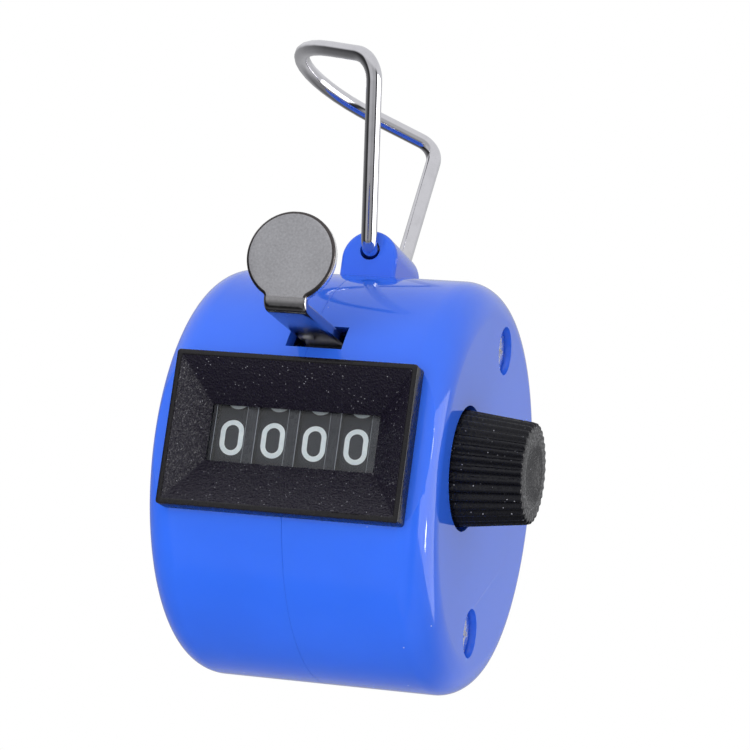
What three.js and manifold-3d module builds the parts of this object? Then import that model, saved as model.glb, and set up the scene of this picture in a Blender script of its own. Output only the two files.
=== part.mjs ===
// Hand tally counter: a drum-shaped case with four number wheels behind a framed window,
// a thumb lever, a reset knob and a wire finger ring. Millimetres, +Z up.
// The parts are laid out around the seam between the two case shells, with the window
// facing -Y and the drum axis along X. The last group moves them so that the origin is
// the centre of the flat left end face.
import * as THREE from 'three';
import { mergeVertices } from 'three/addons/utils/BufferGeometryUtils.js';
import Module from 'manifold-3d';

const wasm = await Module();
wasm.setup();

const DEG = Math.PI / 180;
const GAP = 0.3; // running clearance between neighbouring pieces

// Case
const DRUM_R = 22;
const HALF_W = 15.4;
const EDGE_R = 3.7;
const WALL = 1.8;
const FLAT_Y = -20.5; // front flat that carries the bezel
const FLAT_WALL = 1.6;
const INNER_R = DRUM_R - WALL;
const INNER_X = HALF_W - WALL;
const INNER_FLAT_Y = FLAT_Y + FLAT_WALL;

// Lug and finger ring
const LUG_X = 0.3; // the lug sits a little to the right of the seam
const LUG_HALF_W = 3.12;
const LUG_Y = [-4.7, 4.9];
const LUG_ROOT_Z = 19.8;
const LUG_TOP = 26.6;
const RING_WIRE_R = 0.85;
const RING_Z = 24.4; // height of the ring's swing axis

// Case screws, one above and one below the drum axis
const SCREW_Z = 15.3;
const SCREW_R = 1.25;
const SCREW_HEAD_R = 2.3;
const SCREW_HEAD_X = [13.3, 14.8];
const SCREW_RECESS = [1.3, 0.25, 0.7]; // arm half length, half width and depth
const SCREW_TIP_X = -7;
const COUNTERBORE_R = 2.6;
const BOSS_R = 3.5;
const BOSS_RIB_HALF_W = 1;
const FRAME_POSTS = [[4, 4], [4, -7], [-13, -7]]; // [y, z] of the posts that hold the frame plates endways
const POST_R = 1.3;
const AXLE_SOCKET = [-12.4, 1.6]; // end x and wall of the axle's socket in the left shell

// Bezel, lens and comb
const BEZEL_HALF = [12.8, 8.05];
const BEZEL_FRONT_Y = -22.8;
const BEZEL_RIM = 0.6;
const BEZEL_BACK_Y = -19.4;
const BEZEL_LIP_Y = -19.7;
const WINDOW_X = [-9.3, 8.65];
const WINDOW_Z = [-2.7, 3.2];
const BEZEL_HOLE = [12, 7.3]; // half size of the hole in the case
const LENS_MARGIN = 0.85;
const LENS_BACK_Y = -18.4;
const COMB_BACK_Y = -17.95;
const HOOK_HALF_W = 3; // snap hooks at both ends of the bezel
const HOOK_ARM = 0.8;
const HOOK_TOOTH = 0.9;
const HOOK_BACK_Y = -17.7;

// Number wheels
const AXIS_Y = -9.6;
const AXIS_Z = 0.4;
const WHEEL_R = 8;
const WHEEL_PITCH = 4.455;
const WHEEL_NAMES = ['thousands', 'hundreds', 'tens', 'units'];
const FIRST_WHEEL_X = -7.4;
const WHEEL_LEFT = 1.87; // from the digit's middle to each side face
const WHEEL_RIGHT = 1.25;
const WHEEL_RIM = 1.1;
const WHEEL_HUB_R = 3;
const WHEEL_RECESS = 0.8;
const WHEEL_EDGE = 0.15;
const AXLE_R = 1.2;
const AXLE_BORE_R = AXLE_R + GAP;
const AXLE_X = [-13.3, 20.5];
const CLIP_X = [-12.1, -11.7];
const CLIP_R = 2.7;
const WASHER_X = [11.1, 11.6];
const WASHER_R = 2.9;

// Carry gears
const GEAR_TEETH = 20;
const PINION_TEETH = 8;
const MODULE = 0.64;
const ADDENDUM = 0.5;
const DEDENDUM = 0.65;
const GEAR_R = GEAR_TEETH * MODULE / 2;
const PINION_R = PINION_TEETH * MODULE / 2;
const GEAR_W = 0.55;
const TOOTH_HALF_ROOT = 0.5;
const TOOTH_HALF_TIP = 0.19;
const CARRY_TEETH = [18, 19]; // the pair that steps the pinion once a turn
const PINION_SIDE_GAP = 0.08;
const PINION_Y = AXIS_Y + GEAR_R + PINION_R;
const PINION_SHAFT_R = 0.6;

// Frame
const PLATE_LEFT_X = [-11.4, -10.6];
const PLATE_RIGHT_X = [9.9, 10.7];
const SHAFT_END = 0.4; // how far a shaft passes through its frame plate
const SPACER_R = 1.2;
const SPACERS = { frame_spacer_upper: [2.5, 7.5], frame_spacer_lower: [-3, -9] };

// Thumb lever
const PIVOT_Y = -14.6;
const PIVOT_Z = 9.8;
const PIVOT_PIN_R = 0.75;
const BARREL_R = 1.7;
const LEVER_T = 1.15;
const LEVER_Z = 11.375; // middle of the strip
const LEVER_X = [-1.55, 2.85];
const LEVER_BEND_R = 0.2; // inside the bend
const PAD_R = 4.7;
const PAD_Y = -30.1;
const PAD_Z = 16.4;
const SLOT_X = [-2.4, 3.6];
const SLOT_Z = [9.75, 12.45];
const ARM_X = [8.9, 9.6];
const SPRING_X = [-4.6, -2.4];
const SPRING_R = 1.35;
const SPRING_WIRE_R = 0.25;
const SPRING_HOLE = [-11.9, 9.8]; // hole in the left frame plate for the fixed end of the spring

// Ratchet and pawls
const RATCHET_TEETH = 10;
const RATCHET_R = [2.9, 4.0];
const RATCHET_X = [7.6, 8.6];
const PAWL_PIVOT = [-14.4, 4.6];
const PAWL_TIP = [-12.8, 3.6];
const PAWL_RIVET_R = 0.45;

// Reset knob
const KNOB_R = [5.96, 5.22]; // at the case face and at the free end
const KNOB_END_X = HALF_W + 7.18;
const KNOB_HUB_X = 12.2;
const KNOB_HUB_R = 5.5;
const KNOB_HOLE_R = 6.5;
const KNOB_FLUTES = 33;
const KNOB_FLUTE_DEPTH = 0.4;
const KNOB_DISH_R = 3.4;
const KNOB_DISH_DEPTH = 0.9;

const PLASTIC = { roughness: 0.3, metalness: 0 };
const METAL = { roughness: 0.3, metalness: 1 };
const material = (color, look) => new THREE.MeshStandardMaterial({ color, ...look });
const BLUE = material(0x2f6ff0, PLASTIC);
const BLACK = material(0x1c1a1e, { roughness: 0.6, metalness: 0 });
const CLEAR = material(0xe8eef2, { roughness: 0.05, metalness: 0, transparent: true, opacity: 0.3 });
const GREY = material(0x46444b, PLASTIC);
const WHITE = material(0xe8e8e4, PLASTIC);
const NICKEL = material(0xa0a09c, METAL);
const CHROME = material(0xd8d8dc, { roughness: 0.1, metalness: 1 });
const STEEL = material(0x8c8e92, METAL);

const counter = new THREE.Group();

function addPart(name, geometry, look) {
  const mesh = new THREE.Mesh(geometry, look);
  mesh.name = name;
  counter.add(mesh);
}

// Booleans
function toSolid(geometry) {
  const bare = geometry.clone();
  bare.deleteAttribute('normal');
  bare.deleteAttribute('uv');
  const merged = mergeVertices(bare, 1e-4);
  return new wasm.Manifold(new wasm.Mesh({
    numProp: 3,
    vertProperties: Float32Array.from(merged.attributes.position.array),
    triVerts: Uint32Array.from(merged.index.array),
  }));
}

function toGeometry(solid) {
  const mesh = solid.getMesh();
  const geometry = new THREE.BufferGeometry();
  geometry.setAttribute('position', new THREE.BufferAttribute(mesh.vertProperties, 3));
  geometry.setIndex(new THREE.BufferAttribute(mesh.triVerts, 1));
  geometry.computeVertexNormals();
  return geometry;
}

const join = (first, ...rest) => rest.reduce((sum, item) => sum.add(toSolid(item)), toSolid(first));
const cut = (solid, ...tools) => tools.reduce((left, item) => left.subtract(toSolid(item)), solid);

// Shapes: outlines are lists of [y, z], turned profiles are lists of [x, radius]
const YZ_TO_WORLD = new THREE.Matrix4().set(0, 0, 1, 0, 1, 0, 0, 0, 0, 1, 0, 0, 0, 0, 0, 1);
const LATHE_TO_X = new THREE.Matrix4().set(0, 1, 0, 0, 0, 0, 1, 0, 1, 0, 0, 0, 0, 0, 0, 1);

function extrudeX(outline, x, holes = []) {
  const shape = new THREE.Shape(outline.map(([y, z]) => new THREE.Vector2(y, z)));
  for (const [y, z, radius] of holes) {
    const hole = circle(y, z, radius, 14);
    shape.holes.push(new THREE.Path(hole.map(([hy, hz]) => new THREE.Vector2(hy, hz))));
  }
  const geometry = new THREE.ExtrudeGeometry(shape, { depth: x[1] - x[0], bevelEnabled: false });
  return geometry.applyMatrix4(YZ_TO_WORLD).translate(x[0], 0, 0);
}

function turnX(profile, y, z, segments) {
  const points = profile.map(([x, radius]) => new THREE.Vector2(radius, x));
  return new THREE.LatheGeometry(points, segments).applyMatrix4(LATHE_TO_X).translate(0, y, z);
}

function rodX(radius, x, y, z, segments = 16) {
  return turnX([[x[0], 0], [x[0], radius], [x[1], radius], [x[1], 0]], y, z, segments);
}

function tubeX(inner, outer, x, y, z, segments = 18) {
  const profile = [[x[0], inner], [x[0], outer], [x[1], outer], [x[1], inner], [x[0], inner]];
  return turnX(profile, y, z, segments);
}

function rodY(radius, y, x, z, segments = 24) {
  return new THREE.CylinderGeometry(radius, radius, y[1] - y[0], segments)
    .translate(x, (y[0] + y[1]) / 2, z);
}

function box(x, y, z) {
  return new THREE.BoxGeometry(x[1] - x[0], y[1] - y[0], z[1] - z[0])
    .translate((x[0] + x[1]) / 2, (y[0] + y[1]) / 2, (z[0] + z[1]) / 2);
}

function arc(y, z, radius, from, to, steps) {
  return Array.from({ length: steps + 1 }, (_, i) => {
    const angle = (from + (to - from) * i / steps) * DEG;
    return [y + radius * Math.cos(angle), z + radius * Math.sin(angle)];
  });
}

const circle = (y, z, radius, steps) => arc(y, z, radius, 0, 360, steps).slice(0, -1);

function hull2(a, b) {
  // outline round two circles [y, z, radius]
  const angle = Math.atan2(b[1] - a[1], b[0] - a[0]);
  const lean = Math.acos((a[2] - b[2]) / Math.hypot(b[0] - a[0], b[1] - a[1]));
  const start = (angle + lean) / DEG;
  const end = (angle - lean) / DEG;
  return [...arc(a[0], a[1], a[2], start, end + 360, 12), ...arc(b[0], b[1], b[2], end, start, 8)];
}

function wire(points, radius, sides, steps) {
  const section = new THREE.Shape(circle(0, 0, radius, sides).map(([u, v]) => new THREE.Vector2(u, v)));
  return new THREE.ExtrudeGeometry(section, { steps, bevelEnabled: false, extrudePath: points });
}

// Case shells: side is -1 for the left one and 1 for the right one
function drum(radius, halfWidth, edgeRadius, side, segments) {
  const corner = edgeRadius > 0
    ? arc(halfWidth - edgeRadius, radius - edgeRadius, edgeRadius, 90, 0, edgeRadius > 3 ? 4 : 2)
    : [[halfWidth, radius]];
  const profile = [[0, 0], [0, radius], ...corner, [halfWidth, 0]];
  const placed = profile.map(([x, r]) => [side * x, r]);
  return turnX(side > 0 ? placed : placed.reverse(), 0, 0, segments);
}

function lugHalf(side) {
  const sides = [LUG_X - LUG_HALF_W, LUG_X + LUG_HALF_W];
  const crown = rodY(LUG_HALF_W, LUG_Y, LUG_X, LUG_TOP - LUG_HALF_W, 32);
  const trunk = box(sides, LUG_Y, [LUG_ROOT_Z, LUG_TOP - LUG_HALF_W]);
  const block = box(side < 0 ? [sides[0], 0] : [0, sides[1]], LUG_Y, [LUG_ROOT_Z, LUG_TOP]);
  return join(crown, trunk).intersect(toSolid(block));
}

function caseShell(side) {
  const sideX = (from, to) => side < 0 ? [-to, -from] : [from, to];
  const segments = 60;
  let shell = toSolid(drum(DRUM_R, HALF_W, EDGE_R, side, segments));
  shell = cut(shell, box(sideX(-1, 20), [-30, FLAT_Y], [-30, 30]));
  let hollow = toSolid(drum(INNER_R, INNER_X, EDGE_R - WALL, side, segments));
  hollow = hollow.add(toSolid(rodX(INNER_R, sideX(-1, 1), 0, 0, segments)));
  hollow = cut(hollow, box(sideX(-2, 20), [-30, INNER_FLAT_Y], [-30, 30]));
  shell = shell.subtract(hollow).add(lugHalf(side));

  // screw bosses with the ribs that tie them to the wall
  const drumBody = toSolid(drum(DRUM_R - 0.5, HALF_W - 0.5, EDGE_R, side, segments));
  for (const z of [-SCREW_Z, SCREW_Z]) {
    const boss = join(
      rodX(BOSS_R, sideX(0, HALF_W - 1), 0, z, 28),
      box(sideX(0, HALF_W - 1), [-BOSS_RIB_HALF_W, BOSS_RIB_HALF_W],
        z > 0 ? [z, DRUM_R - 1] : [1 - DRUM_R, z]),
    ).intersect(drumBody);
    shell = shell.add(boss);
  }
  if (side < 0) {
    const [socketEnd, socketWall] = AXLE_SOCKET;
    shell = shell.add(toSolid(
      tubeX(AXLE_BORE_R, AXLE_BORE_R + socketWall, [1 - HALF_W, socketEnd], AXIS_Y, AXIS_Z)));
  }
  const plate = side < 0 ? -PLATE_LEFT_X[0] : PLATE_RIGHT_X[1];
  for (const [y, z] of FRAME_POSTS) {
    shell = shell.add(toSolid(rodX(POST_R, sideX(plate + GAP, INNER_X + 0.5), y, z, 16)));
  }

  const holes = [
    box([SLOT_X[0], SLOT_X[1]], [-24, -15], SLOT_Z),
    box([-BEZEL_HOLE[0], BEZEL_HOLE[0]], [-24, -18], [-BEZEL_HOLE[1], BEZEL_HOLE[1]]),
    rodY(RING_WIRE_R + GAP, [-10, 10], LUG_X, RING_Z, 20),
  ];
  for (const z of [-SCREW_Z, SCREW_Z]) {
    holes.push(rodX(SCREW_R + GAP, [SCREW_TIP_X - 1, HALF_W + 1], 0, z, 24));
    holes.push(rodX(COUNTERBORE_R, [SCREW_HEAD_X[0], HALF_W + 1], 0, z, 28));
  }
  if (side > 0) {
    holes.push(rodX(KNOB_HOLE_R, [INNER_X - 2, HALF_W + 1], AXIS_Y, AXIS_Z, 48));
  }
  return toGeometry(cut(shell, ...holes));
}
addPart('left_shell', caseShell(-1), BLUE);
addPart('right_shell', caseShell(1), BLUE);

// Case screws: turned, with a cross recess in the head
function caseScrew(z) {
  const [under, top] = SCREW_HEAD_X;
  const body = toSolid(turnX([
    [SCREW_TIP_X, 0], [SCREW_TIP_X + 1, SCREW_R], [under, SCREW_R], [under, SCREW_HEAD_R],
    [top - 0.5, SCREW_HEAD_R], [top, SCREW_HEAD_R - 0.6], [top, 0],
  ], 0, z, 24));
  const [arm, half, depth] = SCREW_RECESS;
  const recess = [top - depth, top + 1];
  return toGeometry(cut(body,
    box(recess, [-arm, arm], [z - half, z + half]),
    box(recess, [-half, half], [z - arm, z + arm])));
}
addPart('case_screw_top', caseScrew(SCREW_Z), STEEL);
addPart('case_screw_bottom', caseScrew(-SCREW_Z), STEEL);

// Bezel: a frame on the front flat, sloping inwards to the window, with a snap hook at each end
function rectangle(x, z, y) {
  return [[x[0], y, z[0]], [x[1], y, z[0]], [x[1], y, z[1]], [x[0], y, z[1]]];
}

function frustum(front, back) {
  // closed solid between two rectangles, the first one nearer to -Y
  const geometry = new THREE.BufferGeometry();
  geometry.setAttribute('position', new THREE.Float32BufferAttribute([...front, ...back].flat(), 3));
  const faces = [[0, 1, 2, 3], [5, 4, 7, 6], [1, 0, 4, 5], [2, 1, 5, 6], [3, 2, 6, 7], [0, 3, 7, 4]];
  geometry.setIndex(faces.flatMap(([a, b, c, d]) => [a, b, c, a, c, d]));
  return geometry;
}

function bezel() {
  const [hx, hz] = BEZEL_HALF;
  const [ix, iz] = [hx - BEZEL_RIM, hz - BEZEL_RIM];
  const [cx, cz] = [BEZEL_HOLE[0] - GAP, BEZEL_HOLE[1] - GAP];
  const body = join(
    box([-hx, hx], [BEZEL_FRONT_Y, FLAT_Y], [-hz, hz]),
    box([-cx, cx], [FLAT_Y - 0.5, BEZEL_BACK_Y], [-cz, cz]),
    ...[-1, 1].flatMap((side) => {
      const x = (from, to) => side < 0 ? [-to, -from] : [from, to];
      const hookZ = [-HOOK_HALF_W, HOOK_HALF_W];
      return [
        box(x(cx - HOOK_ARM, cx), [BEZEL_BACK_Y - 0.5, HOOK_BACK_Y], hookZ),
        box(x(cx - HOOK_ARM, cx + HOOK_TOOTH), [INNER_FLAT_Y + GAP, HOOK_BACK_Y], hookZ),
      ];
    }),
  );
  const slope = frustum(rectangle([-ix, ix], [-iz, iz], BEZEL_FRONT_Y - 0.001),
    rectangle(WINDOW_X, WINDOW_Z, BEZEL_LIP_Y));
  return toGeometry(cut(body, slope, box(WINDOW_X, [BEZEL_LIP_Y - 1, BEZEL_BACK_Y + 1], WINDOW_Z)));
}
addPart('bezel', bezel(), BLACK);

const lensX = [WINDOW_X[0] - LENS_MARGIN, WINDOW_X[1] + LENS_MARGIN];
const lensZ = [WINDOW_Z[0] - LENS_MARGIN, WINDOW_Z[1] + LENS_MARGIN];
addPart('window_lens', box(lensX, [BEZEL_BACK_Y, LENS_BACK_Y], lensZ), CLEAR);

const wheelX = WHEEL_NAMES.map((_, i) => FIRST_WHEEL_X + i * WHEEL_PITCH);
const faceX = (x) => [x - WHEEL_LEFT, x + WHEEL_RIGHT];

function digitComb() {
  const slots = wheelX.map((x) => box(faceX(x), [-20, -17], [WINDOW_Z[0] - 0.3, WINDOW_Z[1] + 0.3]));
  return toGeometry(cut(toSolid(box(lensX, [LENS_BACK_Y, COMB_BACK_Y], lensZ)), ...slots));
}
addPart('digit_comb', digitComb(), BLACK);

// Gears: outlines [y, z] round a centre, with one tooth pointing at the phase angle
function toothed(y, z, teeth, radius, phase, present = () => true) {
  const root = radius - DEDENDUM;
  const tip = radius + ADDENDUM;
  const step = 360 / teeth;
  const half = [TOOTH_HALF_ROOT / root / DEG, TOOTH_HALF_TIP / tip / DEG]; // as angles
  const at = (r, angle) => [y + r * Math.cos(angle * DEG), z + r * Math.sin(angle * DEG)];
  return Array.from({ length: teeth }, (_, i) => {
    const middle = phase + i * step;
    const gap = [at(root, middle), at(root, middle + step / 2)];
    const tooth = [at(root, middle - half[0]), at(tip, middle - half[1]), at(tip, middle + half[1]),
      at(root, middle + half[0])];
    return present(i) ? tooth : gap;
  }).flat();
}

function numberWheel(i) {
  const [left, right] = faceX(wheelX[i]);
  const rim = WHEEL_R - WHEEL_RIM;
  const web = left + WHEEL_RECESS; // the left face is recessed between the hub and the rim
  const edge = WHEEL_R - WHEEL_EDGE;
  const profile = [[left, AXLE_BORE_R], [left, WHEEL_HUB_R], [web, WHEEL_HUB_R], [web, rim], [left, rim],
    [left, edge], [left + WHEEL_EDGE, WHEEL_R], [right - WHEEL_EDGE, WHEEL_R], [right, edge],
    [right, AXLE_BORE_R], [left, AXLE_BORE_R]];
  let wheel = toSolid(turnX(profile, AXIS_Y, AXIS_Z, 30));
  const hole = [[AXIS_Y, AXIS_Z, AXLE_BORE_R]];
  if (i < WHEEL_NAMES.length - 1) {
    // full gear that the carry pinion turns
    const outline = toothed(AXIS_Y, AXIS_Z, GEAR_TEETH, GEAR_R, 0);
    wheel = wheel.add(toSolid(extrudeX(outline, [right - 0.2, right + GEAR_W], hole)));
  }
  if (i > 0) {
    // two teeth, past the line of centres when 0 shows
    const outline = toothed(AXIS_Y, AXIS_Z, GEAR_TEETH, GEAR_R, 0, (k) => CARRY_TEETH.includes(k));
    wheel = wheel.add(toSolid(extrudeX(outline, [left - GEAR_W, web + 0.1], hole)));
  }
  return toGeometry(wheel);
}
WHEEL_NAMES.forEach((name, i) => addPart(`number_wheel_${name}`, numberWheel(i), GREY));

function carryPinion(i) {
  const gapX = [faceX(wheelX[i])[1], faceX(wheelX[i + 1])[0]];
  const x = [gapX[0] + PINION_SIDE_GAP, gapX[1] - PINION_SIDE_GAP];
  const middle = (x[0] + x[1]) / 2;
  const hole = [[PINION_Y, AXIS_Z, PINION_SHAFT_R + 0.25]];
  const outline = (present) => toothed(PINION_Y, AXIS_Z, PINION_TEETH, PINION_R, 22.5, present);
  const full = toSolid(extrudeX(outline(), [x[0], middle], hole));
  return toGeometry(full.add(toSolid(extrudeX(outline((k) => k % 2 === 0), [middle - 0.1, x[1]], hole))));
}
for (let i = 0; i < WHEEL_NAMES.length - 1; i += 1) {
  addPart(`carry_pinion_${i + 1}`, carryPinion(i), WHITE);
}
const SHAFT_X = [PLATE_LEFT_X[0] - SHAFT_END, PLATE_RIGHT_X[1] + SHAFT_END];
addPart('pinion_shaft', rodX(PINION_SHAFT_R, SHAFT_X, PINION_Y, AXIS_Z, 12), STEEL);

// Wheel axle, with its clip and washer
addPart('wheel_axle', rodX(AXLE_R, AXLE_X, AXIS_Y, AXIS_Z, 24), STEEL);
function axleClip() {
  const ring = toSolid(tubeX(AXLE_BORE_R, CLIP_R, CLIP_X, AXIS_Y, AXIS_Z));
  const mouthZ = [AXIS_Z, AXIS_Z + CLIP_R + 1];
  const mouth = box([CLIP_X[0] - 1, CLIP_X[1] + 1], [AXIS_Y - 0.7, AXIS_Y + 0.7], mouthZ);
  return toGeometry(cut(ring, mouth));
}
addPart('axle_clip', axleClip(), STEEL);
addPart('axle_washer', tubeX(AXLE_BORE_R, WASHER_R, WASHER_X, AXIS_Y, AXIS_Z), STEEL);

// Ratchet beside the units wheel
function ratchet() {
  const step = 360 / RATCHET_TEETH;
  const [root, tip] = RATCHET_R;
  const outline = Array.from({ length: RATCHET_TEETH }, (_, i) => [
    ...arc(AXIS_Y, AXIS_Z, root, i * step, i * step + 0.25 * step, 1),
    ...arc(AXIS_Y, AXIS_Z, tip, (i + 0.9) * step, (i + 0.98) * step, 1),
  ]).flat();
  return extrudeX(outline, RATCHET_X, [[AXIS_Y, AXIS_Z, AXLE_BORE_R]]);
}
addPart('ratchet_wheel', ratchet(), WHITE);

// Frame: two plates held apart by two spacers
function framePlate(x) {
  const outline = [
    ...arc(PIVOT_Y, PIVOT_Z, 2, 180, 60, 5), ...arc(SPACERS.frame_spacer_upper[0], 7.5, 2.2, 80, 0, 4),
    [6.5, 0], [6.5, -6], ...arc(SPACERS.frame_spacer_lower[0], -9, 2.2, -40, -110, 4),
    [-13.5, -9.5], [-17.3, -5], [-17.3, 3.5],
  ];
  const holes = [
    [AXIS_Y, AXIS_Z, AXLE_BORE_R], [PINION_Y, AXIS_Z, PINION_SHAFT_R + GAP],
    [PIVOT_Y, PIVOT_Z, PIVOT_PIN_R + GAP], [...SPRING_HOLE, SPRING_WIRE_R + GAP],
  ];
  return extrudeX(outline, x, holes);
}
addPart('frame_plate_left', framePlate(PLATE_LEFT_X), STEEL);
addPart('frame_plate_right', framePlate(PLATE_RIGHT_X), STEEL);
for (const [name, [y, z]] of Object.entries(SPACERS)) {
  addPart(name, rodX(SPACER_R, [PLATE_LEFT_X[1], PLATE_RIGHT_X[0]], y, z, 16), STEEL);
}

// Thumb lever: barrel on the pin, strip through the slot, round pad, and the pawl arm
function thumbLever() {
  const bottom = LEVER_Z - LEVER_T / 2;
  const top = LEVER_Z + LEVER_T / 2;
  const bend = LEVER_BEND_R;
  const back = PAD_Y + LEVER_T / 2;
  const strip = [
    [PIVOT_Y, bottom - 0.4], [PIVOT_Y, top - 0.2], [PIVOT_Y - 0.6, top],
    ...arc(back + bend, top + bend, bend, 270, 180, 5),
    [back, PAD_Z], [PAD_Y - LEVER_T / 2, PAD_Z],
    ...arc(back + bend, top + bend, bend + LEVER_T, 180, 270, 5), [PIVOT_Y - 1.2, bottom],
  ];
  const lever = join(
    tubeX(PIVOT_PIN_R + 0.1, BARREL_R, [LEVER_X[0], ARM_X[1]], PIVOT_Y, PIVOT_Z),
    extrudeX(strip, LEVER_X),
    rodY(PAD_R, [PAD_Y - LEVER_T / 2, PAD_Y + LEVER_T / 2], (LEVER_X[0] + LEVER_X[1]) / 2, PAD_Z, 36),
    extrudeX(hull2([PIVOT_Y, PIVOT_Z, BARREL_R], [...PAWL_PIVOT, 1.2]), ARM_X),
  );
  return toGeometry(cut(lever,
    rodX(PIVOT_PIN_R + GAP, [LEVER_X[0] - 1, ARM_X[1] + 1], PIVOT_Y, PIVOT_Z),
    rodX(PAWL_RIVET_R + 0.2, [ARM_X[0] - 1, ARM_X[1] + 1], ...PAWL_PIVOT, 12)));
}
addPart('thumb_lever', thumbLever(), NICKEL);
addPart('lever_pivot_pin', rodX(PIVOT_PIN_R, SHAFT_X, PIVOT_Y, PIVOT_Z, 16), STEEL);

// Drive pawl on its rivet
function drivePawl() {
  const [ty, tz] = PAWL_TIP;
  const outline = hull2([...PAWL_PIVOT, 1.0], [ty, tz, 0.25]);
  return extrudeX(outline, [RATCHET_X[0] + 0.1, RATCHET_X[1]], [[...PAWL_PIVOT, PAWL_RIVET_R + 0.15]]);
}
addPart('drive_pawl', drivePawl(), STEEL);
addPart('pawl_rivet', rodX(PAWL_RIVET_R, [RATCHET_X[0] + 0.1, ARM_X[1] + 0.1], ...PAWL_PIVOT, 12), STEEL);

// Springs: coils round an axis along X, with straight legs [y, z] at both ends
class CoilCurve extends THREE.Curve {
  constructor(spring) {
    super();
    Object.assign(this, spring);
  }
  getPoint(t, target = new THREE.Vector3()) {
    const angle = (this.start + t * this.turns * 360) * DEG;
    return target.set(this.x[0] + t * (this.x[1] - this.x[0]),
      this.y + this.radius * Math.cos(angle), this.z + this.radius * Math.sin(angle));
  }
}

function coil(spring, wireRadius) {
  const steps = Math.round(spring.turns * 10);
  return toSolid(wire(new CoilCurve(spring), wireRadius, 5, steps));
}

function leg(from, to) {
  return toSolid(wire(new THREE.LineCurve3(new THREE.Vector3(...from), new THREE.Vector3(...to)),
    SPRING_WIRE_R, 5, 1));
}

function returnSpring() {
  const [left, right] = SPRING_X;
  const spring = { x: SPRING_X, y: PIVOT_Y, z: PIVOT_Z, radius: SPRING_R, turns: 3.5, start: 0 };
  const rear = PIVOT_Y + SPRING_R;
  const front = PIVOT_Y - SPRING_R;
  const hookY = PIVOT_Y - BARREL_R - SPRING_WIRE_R - 0.22;
  const hookZ = PIVOT_Z + 0.3;
  return toGeometry(coil(spring, SPRING_WIRE_R)
    .add(leg([left, rear, PIVOT_Z - 0.1], [left, SPRING_HOLE[0], PIVOT_Z]))
    .add(leg([left + SPRING_WIRE_R, ...SPRING_HOLE], [PLATE_LEFT_X[0] - 0.4, ...SPRING_HOLE]))
    .add(leg([right, front + 0.1, PIVOT_Z], [right, hookY, hookZ]))
    .add(leg([right - SPRING_WIRE_R, hookY, hookZ], [LEVER_X[0] + 1, hookY, hookZ])));
}
addPart('lever_return_spring', returnSpring(), CHROME);

function detentSpring() {
  const [y, z] = SPACERS.frame_spacer_lower;
  const tip = [AXIS_Y + 4.6 * Math.cos(-62 * DEG), AXIS_Z + 4.6 * Math.sin(-62 * DEG)];
  const clamp = extrudeX(circle(y, z, 2.1, 20), RATCHET_X);
  const leaf = extrudeX(hull2([y - 0.6, z + 1.5, 0.3], [...tip, 0.2]), RATCHET_X);
  return toGeometry(cut(join(clamp, leaf), rodX(SPACER_R + GAP, [7, 9], y, z, 16)));
}
addPart('detent_spring', detentSpring(), CHROME);

// Reset knob: fluted, slightly tapered, with a dished end
function resetKnob() {
  const depth = [0, 0, 1]; // one flute, as shares of its depth
  const steps = depth.length * KNOB_FLUTES;
  const outline = Array.from({ length: steps }, (_, i) => {
    const radius = KNOB_R[0] - KNOB_FLUTE_DEPTH * depth[i % depth.length];
    const angle = i / steps * 360 * DEG;
    return [radius * Math.cos(angle), radius * Math.sin(angle)];
  });
  const grip = extrudeX(outline, [HALF_W - 0.7, KNOB_END_X]);
  const place = grip.attributes.position;
  for (let i = 0; i < place.count; i += 1) {
    const share = (place.getX(i) - HALF_W) / (KNOB_END_X - HALF_W);
    const scale = 1 + (KNOB_R[1] / KNOB_R[0] - 1) * share;
    place.setXYZ(i, place.getX(i), AXIS_Y + place.getY(i) * scale, AXIS_Z + place.getZ(i) * scale);
  }
  const knob = join(grip, rodX(KNOB_HUB_R, [KNOB_HUB_X, HALF_W], AXIS_Y, AXIS_Z, 28));
  const dish = turnX([
    [KNOB_END_X - KNOB_DISH_DEPTH, 0], [KNOB_END_X - KNOB_DISH_DEPTH * 0.8, KNOB_DISH_R * 0.6],
    [KNOB_END_X + 0.1, KNOB_DISH_R], [KNOB_END_X + 0.1, 0],
  ], AXIS_Y, AXIS_Z, 24);
  const bore = rodX(AXLE_BORE_R, [KNOB_HUB_X - 1, AXLE_X[1] + GAP], AXIS_Y, AXIS_Z, 16);
  return toGeometry(cut(knob, dish, bore));
}
addPart('reset_knob', resetKnob(), BLACK);

// Finger ring: one bent wire with both ends in the lug
const RING_BENDS = [ // corners and bend radii
  [[LUG_X, -3, RING_Z], 0], [[0.5, -5.9, RING_Z], 1.3], [[0.63, -13, 43.5], 2.9],
  [[-25.1, -0.2, 50.7], 10.8], [[0.95, 13, 41.6], 2.3], [[0.65, 5.9, RING_Z], 1.3], [[LUG_X, 3, RING_Z], 0],
];

function bentPath(bends) {
  const path = new THREE.CurvePath();
  let last = new THREE.Vector3(...bends[0][0]);
  for (let i = 1; i < bends.length; i += 1) {
    const corner = new THREE.Vector3(...bends[i][0]);
    if (i === bends.length - 1) {
      path.add(new THREE.LineCurve3(last, corner));
      break;
    }
    const before = new THREE.Vector3(...bends[i - 1][0]).sub(corner).normalize();
    const after = new THREE.Vector3(...bends[i + 1][0]).sub(corner).normalize();
    const half = before.angleTo(after) / 2;
    const reach = bends[i][1] / Math.tan(half);
    const start = corner.clone().addScaledVector(before, reach);
    const end = corner.clone().addScaledVector(after, reach);
    const inward = before.clone().add(after).normalize();
    const centre = corner.clone().addScaledVector(inward, bends[i][1] / Math.sin(half));
    path.add(new THREE.LineCurve3(last, start));
    path.add(new ArcCurve(centre, start, end));
    last = end;
  }
  return path;
}

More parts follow.
